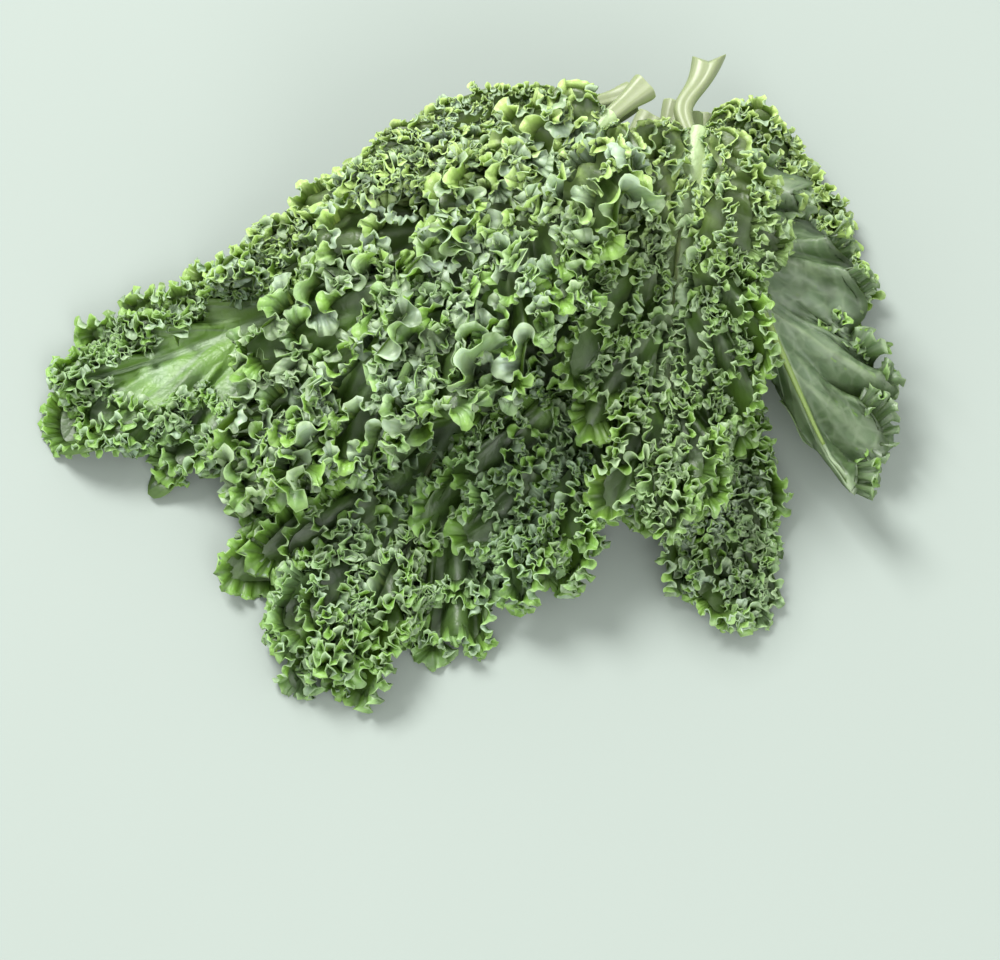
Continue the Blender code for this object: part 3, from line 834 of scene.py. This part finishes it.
@dataclass
class Stalk:
    """A leaf's stalk and midrib: a grooved rod carried along the midrib and thinned to its tip.

    A forked foot has its two sides drawn out past the groove. The stalk may swing to one side near its foot."""

    form: LeafForm
    shift: Array
    fork: float = 0.0
    swing: float = 0.0
    rings: int = 150
    sides: int = 28
    foot_crowding: float = 1.3
    groove: float = 0.26
    groove_width: float = 0.5
    groove_shares: tuple[float, float] = (0.3, 0.8)
    rib_count: int = 9
    ribs: float = 0.025
    swing_at: float = 0.11
    swing_length: float = 0.06
    fork_length: float = 0.05
    side_angles: tuple[float, float] = (0.7, 1.9)

    def lift(self, share: Array) -> Array:
        """How far the solid stalk was lifted, from the mean of each ring's corners.

        Args:
            share: Shares of the path.

        Returns:
            The lift at each share.
        """
        solid = SolidHeights.of(self.form.name + "_stalk")
        rings = np.linspace(0, STALK_END, STALK_RINGS + 1)
        centre = self.form.midrib(rings)[0]
        spots = centre[:, :2] - self.shift
        away = np.hypot(*(spots[:, None, k] - solid.corners[None, :, k] for k in (0, 1)))
        near = away < 1.08 * self.form.rib_radius(rings)[:, None] + 0.1 * MM
        weight = near / np.maximum(near.sum(1, keepdims=True), 1)
        lift = weight @ solid.corners[:, 2] - centre[:, 2]
        smoothed = np.convolve(np.pad(lift, 1, mode="edge"), [0.25, 0.5, 0.25], mode="valid")
        return np.interp(share, rings, smoothed)

    def build(self, finish: bpy.types.Material) -> bpy.types.Object:
        """Makes the rod and hands it to the frame in place of the solid stalk.

        The section is a circle, less a bell curve for the groove on top, with faint lengthwise ribs.

        Args:
            finish: The stalk's material.

        Returns:
            The object.
        """
        form = self.form
        share = np.linspace(0, 1, self.rings) ** self.foot_crowding * STALK_END
        angle = np.linspace(0, TURN, self.sides, endpoint=False)
        s, a = np.meshgrid(share, angle, indexing="ij")
        centre, left, up = form.midrib(s)
        centre[..., 2] += self.lift(share)[:, None]
        forward = np.cross(left, up)
        away = np.angle(np.exp(1j * (a - math.pi / 2)))
        groove = self.groove * np.exp(-((away / self.groove_width) ** 2)) * smooth(1 - s, *self.groove_shares)
        radius = form.rib_radius(s) * (1 - groove) * (1 + self.ribs * np.cos(self.rib_count * a + form.seed))
        points = centre + left * (radius * np.cos(a))[..., None] + up * (radius * np.sin(a))[..., None]
        swing = self.swing * np.exp(-(((s - self.swing_at) / self.swing_length) ** 2))
        points = points + left * swing[..., None]
        foot = np.exp(-((s / self.fork_length) ** 2))
        back = self.fork * (np.cos(a) ** 2 + 0.35 * np.cos(a) - 0.2 * np.sin(a)) * foot
        points = points - forward * back[..., None]
        points[..., :2] -= self.shift
        points[..., 2] = np.maximum(points[..., 2], 0.0)
        ends = np.stack([points[0].mean(0), points[-1].mean(0)])
        grid = np.arange(self.rings * self.sides).reshape(self.rings, self.sides)
        closed = np.hstack([grid, grid[:, :1]])
        last = self.rings * self.sides
        caps = [
            np.stack([closed[0, 1:], closed[0, :-1], np.full(self.sides, last)], 1),
            np.stack([closed[-1, :-1], closed[-1, 1:], np.full(self.sides, last + 1)], 1),
        ]
        corners = np.vstack([points.reshape(-1, 3), ends])
        made = mesh_object(form.name + "_leaf_stalk", corners, strips(closed), np.vstack(caps))
        # How far round each point is from the top; the finish paints the top paler and the sides greener as
        # light and shade.
        side = smooth(np.abs(away), *self.side_angles)
        give_values(made, {
            "along": np.append(s.ravel() * form.length, [0.0, 1.0]),
            "side": np.append(side.ravel(), [0.5, 1.0]),
        })
        made.data.materials.append(finish)
        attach(made, "root")
        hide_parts(form.name + "_stalk")
        return made


class Socket:
    """A shader value. Working with it adds the Math nodes that the sum needs."""

    def __init__(self, kit: Kit, out: bpy.types.NodeSocket | None) -> None:
        """Keeps the value's output and its kit."""
        self.kit, self.out = kit, out

    def math(self, operation: str, first: Socket | float, second: Socket | float) -> Socket:
        """One Math node."""
        return self.kit.add("ShaderNodeMath", {"operation": operation}, {0: first, 1: second})

    def __add__(self, other: Socket | float) -> Socket:
        """The sum."""
        return self.math("ADD", self, other)

    __radd__ = __add__

    def __sub__(self, other: Socket | float) -> Socket:
        """This less the other."""
        return self.math("SUBTRACT", self, other)

    def __rsub__(self, other: Socket | float) -> Socket:
        """The other less this."""
        return self.math("SUBTRACT", other, self)

    def __mul__(self, other: Socket | float) -> Socket:
        """The product."""
        return self.math("MULTIPLY", self, other)

    __rmul__ = __mul__


class Kit:
    """Adds nodes to one material."""

    def __init__(self, name: str) -> None:
        """Starts an empty material."""
        self.material = bpy.data.materials.new(name)
        self.material.use_nodes = True
        self.tree = self.material.node_tree
        self.tree.nodes.clear()

    def add(
        self, kind: str, settings: dict | None = None, sockets: dict | None = None, out: int | str = 0
    ) -> Socket:
        """Adds a node.

        Args:
            kind: The node's type.
            settings: Its own settings, set first.
            sockets: The values or links of its inputs.
            out: Which of its outputs to return.

        Returns:
            The node's output, if it has any.
        """
        node = self.tree.nodes.new(kind)
        for name, value in (settings or {}).items():
            setattr(node, name, value)
        for name, value in (sockets or {}).items():
            if isinstance(value, Socket):
                self.tree.links.new(value.out, node.inputs[name])
            else:
                node.inputs[name].default_value = value
        return Socket(self, node.outputs[out] if len(node.outputs) else None)

    def value(self, name: str) -> Socket:
        """A number stored on the piece's corners."""
        return self.add("ShaderNodeAttribute", {"attribute_name": name}, out="Fac")

    def place(self) -> Socket:
        """The point in the object's own frame."""
        return self.add("ShaderNodeTexCoord", out="Object")

    def noise(self, at: Socket, scale: float, detail: float = 3.0, rough: float = 0.55) -> Socket:
        """Cloudy noise from 0 to 1."""
        sockets = {"Vector": at, "Scale": scale, "Detail": detail, "Roughness": rough}
        return self.add("ShaderNodeTexNoise", None, sockets)

    def between(self, value: Socket, low: float, high: float) -> Socket:
        """0 below low, 1 above high, and a smooth step between them."""
        settings = {"interpolation_type": "SMOOTHSTEP"}
        return self.add("ShaderNodeMapRange", settings, {"Value": value, "From Min": low, "From Max": high})

    def mix(self, share: Socket | float, first: Socket | tuple, second: Socket | tuple) -> Socket:
        """A colour between two."""
        sockets = {0: share, 6: first, 7: second}
        return self.add("ShaderNodeMix", {"data_type": "RGBA"}, sockets, out=2)

    def surface(self, shader: Socket) -> bpy.types.Material:
        """Ends the material with this shader."""
        self.add("ShaderNodeOutputMaterial", None, {"Surface": shader})
        return self.material


Colour = tuple[float, float, float, float]


@dataclass(frozen=True)
class BladeFinish:
    """Fresh kale: waxy green in patches, pale veins, a greyer underside, pale rims partly painted as highlights,
    painted shade among the curls and painted light towards the back.
    """

    name: str
    # Near-black green, painted into the leaves as shade in hollows and among the curls.
    painted_shade_colour: Colour = (0.014, 0.032, 0.004, 1)
    deep: Colour = (0.172, 0.355, 0.040, 1)
    # A lighter, yellower green: partly young growth's own tone, partly painted light, laid on towards the back
    # of the bunch.
    middle: Colour = (0.295, 0.530, 0.080, 1)
    young: Colour = (0.570, 0.725, 0.230, 1)
    bloom: Colour = (0.440, 0.545, 0.455, 1)
    under: Colour = (0.300, 0.400, 0.230, 1)
    vein: Colour = (0.420, 0.530, 0.290, 1)
    # The rims' pale green: partly the margin's own paler tone, partly a painted highlight on the curls' tops.
    rim: Colour = (0.470, 0.560, 0.350, 1)
    patch_scale: float = 28.0
    bloom_scale: float = 38.0
    # How many patches of painted hollow shade there are to a metre.
    hollow_shade_scale: float = 75.0
    wide_net_scale: float = 130.0
    fine_net_scale: float = 420.0
    grain_scale: float = 420.0
    back_light_from: float = 0.02
    back_light_to: float = 0.11
    glow_share: float = 0.42
    through: Colour = (0.420, 0.590, 0.120, 1)

    def build(self) -> bpy.types.Material:
        """Builds the finish from the piece's own values and noise.

        Returns:
            The material: a waxy surface mixed with the light that comes through the leaf.
        """
        kit = Kit(self.name)
        at = kit.place()
        flat = kit.add("ShaderNodeAttribute", {"attribute_name": "flat"}, out="Vector")
        under = kit.value("under")
        rim = kit.value("rim")
        patches = kit.between(kit.noise(at, self.patch_scale), 0.35, 0.68)
        waxy = kit.between(kit.noise(at, self.bloom_scale, 4.0), 0.44, 0.66)
        # Lighter and yellower towards the back of the bunch: partly young growth's tone, partly painted light
        # from the back.
        backwards = kit.add("ShaderNodeSeparateXYZ", None, {0: at}, out="Y")
        back = kit.between(backwards, self.back_light_from, self.back_light_to)
        wide_net = self.net(kit, flat, self.wide_net_scale, 0.16)
        fine_net = self.net(kit, flat, self.fine_net_scale, 0.22)
        colour = kit.mix(patches, self.deep, self.middle)
        colour = kit.mix(waxy * 0.5, colour, self.bloom)
        colour = kit.mix(back * 0.8, colour, self.young)
        colour = kit.mix(under, colour, kit.mix(patches, self.under, self.bloom))
        lines = wide_net * (under * 0.3 + 0.10) + fine_net * 0.05
        colour = kit.mix(lines, colour, self.vein)
        colour = kit.mix(kit.value("vein") * 0.9, colour, self.vein)
        # Pale curl tops: partly the margin's own tone, partly a painted highlight.
        colour = kit.mix(kit.between(rim, 0.60, 1.0) * 0.12, colour, self.rim)
        # Painted shade: random dark patches that stand in for shade in hollows among the curls.
        painted_hollow_shade = kit.between(kit.noise(at, self.hollow_shade_scale, 2.0), 0.50, 0.72)
        colour = kit.mix(painted_hollow_shade * 0.55, colour, self.painted_shade_colour)
        # Painted shade from the stored "deep" value: dark at the curls' feet and on the lamina among them.
        colour = kit.mix(kit.value("deep") * 0.85, colour, self.painted_shade_colour)
        colour = kit.mix(kit.value("rib") * 0.85, colour, self.vein)
        grain = kit.noise(at, self.grain_scale, 2.0)
        height = grain * 0.5 + wide_net * (under * 0.9 - 0.6) + fine_net * (under * 0.5 - 0.3)
        bumps = {"Strength": 0.45, "Distance": 0.5 * MM, "Height": height}
        bump = kit.add("ShaderNodeBump", None, bumps, out="Normal")
        rough = 0.38 + grain * 0.2
        body = {"Base Color": colour, "Roughness": rough, "Normal": bump, "Specular IOR Level": 0.8}
        shader = kit.add("ShaderNodeBsdfPrincipled", None, body)
        glow = kit.add("ShaderNodeBsdfTranslucent", None, {"Color": self.through})
        return kit.surface(kit.add("ShaderNodeMixShader", None, {0: self.glow_share, 1: shader, 2: glow}))

    @staticmethod
    def net(kit: Kit, flat: Socket, scale: float, width: float) -> Socket:
        """A net of veins: 1 on the edges of cells, falling to 0 within them.

        Args:
            kit: The material's kit.
            flat: The place on the flattened leaf.
            scale: How many cells there are to a metre.
            width: How far the veins reach into their cells.

        Returns:
            The net's strength.
        """
        sockets = {"Vector": flat, "Scale": scale, "Randomness": 0.9}
        edge = kit.add("ShaderNodeTexVoronoi", {"feature": "DISTANCE_TO_EDGE"}, sockets, out="Distance")
        return 1 - kit.between(edge, 0.0, width)


@dataclass(frozen=True)
class StalkFinish:
    """A fresh stalk: whitish green, greener towards the blade, streaked lengthwise, its top painted paler and
    its sides greener as light and shade.
    """

    name: str
    pale: Colour = (0.160, 0.186, 0.094, 1)
    green: Colour = (0.130, 0.190, 0.040, 1)

    def build(self) -> bpy.types.Material:
        """Builds the finish: a blend along and round the stalk, broken up by noise.

        Returns:
            The material.
        """
        kit = Kit(self.name)
        at = kit.place()
        streaks = kit.noise(at, 160.0, 4.0)
        along = kit.between(kit.value("along"), 0.0, 0.17)
        # Paler on top and greener down the sides as painted light and shade, with the stalk's own greener tone
        # towards the blade and its streaks.
        colour = kit.mix(along * 0.6 + kit.value("side") * 0.6 + (streaks - 0.5) * 0.5, self.pale, self.green)
        bumps = {"Strength": 0.3, "Distance": 0.5 * MM, "Height": streaks}
        bump = kit.add("ShaderNodeBump", None, bumps, out="Normal")
        body = {
            "Base Color": colour,
            "Roughness": 0.35 + streaks * 0.2,
            "Normal": bump,
            "Subsurface Weight": 0.25,
            "Subsurface Radius": (0.004, 0.005, 0.002),
            "Subsurface Scale": 1.0,
        }
        return kit.surface(kit.add("ShaderNodeBsdfPrincipled", None, body))


@dataclass(frozen=True)
class FloorFinish:
    """A plain pale mint surface."""

    colour: Colour = (0.198, 0.226, 0.206, 1)

    def build(self) -> bpy.types.Material:
        """Builds the finish with faint cloudy noise in its roughness."""
        kit = Kit("pale_floor")
        rough = 0.75 + kit.noise(kit.place(), 6.0) * 0.1
        body = {"Base Color": self.colour, "Roughness": rough}
        return kit.surface(kit.add("ShaderNodeBsdfPrincipled", None, body))


@dataclass
class Studio:
    """A pale floor, soft light from the upper left, and the camera, which looks down steeply."""

    lamps: tuple[tuple[str, tuple[float, float, float], float, float], ...] = (
        ("key", (-2.2, 3.4, 4.8), 2.2, 805.0),
        ("fill", (0.9, -2.0, 2.4), 1.8, 55.0),
    )
    sky_colour: Colour = (0.95, 0.98, 0.95, 1)
    sky_strength: float = 1.5
    floor_half: float = 3.0
    elevation: float = 75.0
    distance: float = 1.7
    view_width: float = 0.5
    centre_px: tuple[float, float] = (475.0, 376.0)
    picture_px: tuple[float, float] = (1000.0, 960.0)
    sensor: float = 36.0
    aim: tuple[float, float, float] = (0.0, 0.0, 0.045)

    def build(self) -> None:
        """Places the floor, the lights and the camera."""
        self.floor()
        for lamp in self.lamps:
            self.lamp(*lamp)
        self.sky()
        self.camera()

    def floor(self) -> None:
        """A large square under the bunch."""
        half = self.floor_half
        corners = np.array([(-half, -half, 0), (half, -half, 0), (half, half, 0), (-half, half, 0)], float)
        made = mesh_object("floor", corners, np.array([[0, 1, 2, 3]]), np.empty((0, 3), int))
        made.data.materials.append(FloorFinish().build())

    def lamp(self, name: str, place: tuple[float, float, float], size: float, power: float) -> None:
        """A square lamp that faces the bunch.

        Args:
            name: The lamp's name.
            place: Where it stands.
            size: The length of its sides.
            power: Its power in watts.
        """
        light = bpy.data.lights.new(name, "AREA")
        light.size, light.energy = size, power
        made = bpy.data.objects.new(name, light)
        made.location = place
        made.rotation_euler = Vector(place).to_track_quat("Z", "Y").to_euler()
        bpy.context.scene.collection.objects.link(made)

    def sky(self) -> None:
        """An even pale surround."""
        world = bpy.data.worlds.new("surround")
        world.use_nodes = True
        back = world.node_tree.nodes["Background"]
        back.inputs["Color"].default_value = self.sky_colour
        back.inputs["Strength"].default_value = self.sky_strength
        bpy.context.scene.world = world
        bpy.context.scene.view_settings.view_transform = "Standard"

    def camera(self) -> None:
        """The camera: the photograph's own steep angle, with the bunch as far from the middle as it is there."""
        lens = bpy.data.cameras.new("view")
        lens.sensor_width = self.sensor
        lens.lens = self.sensor * self.distance / self.view_width
        wide, high = self.picture_px
        lens.shift_x = (wide / 2 - self.centre_px[0]) / wide
        lens.shift_y = -(high / 2 - self.centre_px[1]) / wide
        angle = math.radians(self.elevation)
        direction = Vector((0, -math.cos(angle), math.sin(angle)))
        made = bpy.data.objects.new("view", lens)
        made.location = Vector(self.aim) + direction * self.distance
        made.rotation_euler = direction.to_track_quat("Z", "Y").to_euler()
        bpy.context.scene.collection.objects.link(made)
        bpy.context.scene.camera = made


class Tint(Enum):
    """The leaves' greens."""

    FRESH = "fresh"
    DEEP = "deep"
    YOUNG = "young"
    GREY = "grey"
    MOSSY = "mossy"


FINISHES = {
    Tint.FRESH: BladeFinish("kale_fresh"),
    Tint.DEEP: BladeFinish("kale_deep", middle=(0.240, 0.455, 0.072, 1), vein=(0.280, 0.390, 0.220, 1),
                           bloom=(0.370, 0.510, 0.360, 1)),
    Tint.YOUNG: BladeFinish("kale_young", middle=(0.380, 0.580, 0.070, 1), rim=(0.480, 0.660, 0.240, 1)),
    Tint.GREY: BladeFinish("kale_grey", under=(0.120, 0.178, 0.092, 1), bloom=(0.168, 0.224, 0.150, 1),
                           vein=(0.340, 0.420, 0.270, 1)),
    Tint.MOSSY: BladeFinish("kale_mossy", deep=(0.115, 0.250, 0.022, 1), middle=(0.210, 0.385, 0.046, 1),
                            bloom=(0.310, 0.430, 0.260, 1)),
}

TIGHT = Frills(0.22, 11.5 * MM, 9 * MM, (3 * MM, 3 * MM))
NARROW = Frills(0.22, 9 * MM, 8 * MM, (2 * MM, 2 * MM), 0.45, (-25.0, 60.0))
SPREAD = Frills(0.22, 13 * MM, 10 * MM, (0.0, 0.0), 0.45, (-25.0, 80.0))
SPREAD_LEFT = replace(SPREAD, inset=(-3 * MM, 7 * MM))
UPPER = Frills(0.25, 9 * MM, 8 * MM, (10 * MM, 10 * MM), 0.0, (-20.0, 20.0))
UPPER_WIDE = replace(UPPER, inset=(10 * MM, 1 * MM))
UPPER_LOW = replace(UPPER, inset=(12 * MM, 10 * MM), height=7 * MM)
LOOSE = Frills(0.24, 18.5 * MM, 13 * MM, (7 * MM, 7 * MM), 0.0, (-25.0, 25.0),
               Curl(22 * MM, 7.5 * MM, 1.1, Wave(6, 26, 2.0), Wave(7, 20, 0.5)),
               Curl(8.5 * MM, 1.9 * MM, 0.7, Wave(8, 100, 2.4), Wave(9, 60, 0.7)))
LOOSE_TOP = replace(LOOSE, inset=(20 * MM, 7 * MM), height=12 * MM)
BAND = Frills(0.62, 8 * MM, 8 * MM, (4 * MM, -6 * MM), 0.35, (0.0, 75.0))
EDGE = Frills(0.92, 20 * MM, 9 * MM, (2 * MM, 7 * MM), 0.0, (60.0, 60.0))

# From the lowest leaf to the one on top.
LEAVES = (
    (LeafForm("far_left", ((0.062, 0.132), (-0.022, 0.078), (-0.112, 0.016), (-0.2175, -0.001)),
              0.22, 0.073, 0.040, 0.0057, 0.002, 8, 0, 1), BAND, Tint.DEEP),
    (LeafForm("bottom_left", ((0.097, 0.142), (0.038, 0.045), (-0.030, -0.054), (-0.078, -0.152)),
              0.20, 0.074, 0.090, 0.0062, 0.002, 8, 0, 2), SPREAD, Tint.DEEP),
    (LeafForm("hanging", ((0.122, 0.145), (0.108, 0.026), (0.122, -0.060), (0.141, -0.130)),
              0.30, 0.034, 0.036, 0.0053, 0.002, 14, 0, 3), NARROW, Tint.FRESH),
    (LeafForm("upper_right", ((0.112, 0.132), (0.154, 0.112), (0.174, 0.062), (0.186, 0.010)),
              0.06, 0.038, 0.050, 0.0051, 0.003, 6, 0, 4), UPPER_WIDE, Tint.YOUNG),
    (LeafForm("upper_left", ((0.060, 0.138), (0.012, 0.107), (-0.052, 0.071), (-0.1375, 0.0495)),
              0.12, 0.044, 0.036, 0.0053, 0.003, 8, 0, 5), UPPER, Tint.FRESH),
    (LeafForm("bottom_centre", ((0.108, 0.137), (0.080, 0.052), (0.040, -0.042), (0.028, -0.110)),
              0.18, 0.054, 0.056, 0.0055, 0.004, 8, 0, 6), SPREAD_LEFT, Tint.DEEP),
    (LeafForm("mid_left", ((0.082, 0.138), (0.014, 0.072), (-0.058, 0.005), (-0.121, -0.069)),
              0.14, 0.054, 0.058, 0.0055, 0.004, 8, 0, 7), LOOSE, Tint.FRESH),
    (LeafForm("right", ((0.112, 0.122), (0.124, 0.068), (0.153, -0.008), (0.199, -0.070)),
              0.10, 0.014, 0.056, 0.0050, 0.006, -4, 180, 8), EDGE, Tint.GREY),
    (LeafForm("mid_right", ((0.1215, 0.1456), (0.108, 0.067), (0.0950, -0.010), (0.1025, -0.088)),
              0.15, 0.052, 0.054, 0.0057, 0.006, 8, 0, 9), TIGHT, Tint.MOSSY),
    (LeafForm("top_back", ((0.0825, 0.134), (0.035, 0.120), (-0.015, 0.101), (-0.075, 0.076)),
              0.22, 0.036, 0.028, 0.0048, 0.004, 6, 0, 10), UPPER_LOW, Tint.YOUNG),
    (LeafForm("centre", ((0.0875, 0.120), (0.0425, 0.080), (-0.0075, 0.024), (-0.0375, -0.0506)),
              0.12, 0.056, 0.058, 0.0051, 0.006, 8, 0, 11), LOOSE_TOP, Tint.FRESH),
)
FORKS = {"mid_right": (6 * MM, -9 * MM)}


def centring(forms: list[LeafForm]) -> Array:
    """How far the solids were shifted in plan, so that their box's middle came over the origin.

    It is the middle one of the leaves' own shifts, from the formula's outline to the solid's box.

    Args:
        forms: The leaves' forms.

    Returns:
        The shift in x and y.
    """
    gaps = []
    for form in forms:
        u = np.linspace(0, 1, 4 * round(form.margin / (4 * MARGIN_STEP)) + 1)
        points = form.solid_surface(u, np.ones_like(u))[:, :2]
        low, high = (np.array(corner[:2]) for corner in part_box(form.name + "_blade"))
        gaps.append(((points.min(0) - low) + (points.max(0) - high)) / 2)
    return np.median(gaps, axis=0)


def main() -> None:
    """Builds every leaf, then the studio, and reports each piece."""
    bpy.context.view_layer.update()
    shift = centring([form for form, _, _ in LEAVES])
    finishes = {tint: finish.build() for tint, finish in FINISHES.items()}
    stalk_finish = StalkFinish("kale_stalk").build()
    for form, frills, tint in LEAVES:
        blade = Blade(form, frills, shift).build(finishes[tint])
        stalk = Stalk(form, shift, *FORKS.get(form.name, ())).build(stalk_finish)
        log.info("%s: %d faces, and %d", form.name, len(blade.data.polygons), len(stalk.data.polygons))
    Studio().build()


if __name__ == "__main__":
    logging.basicConfig(level=logging.INFO)
    main()
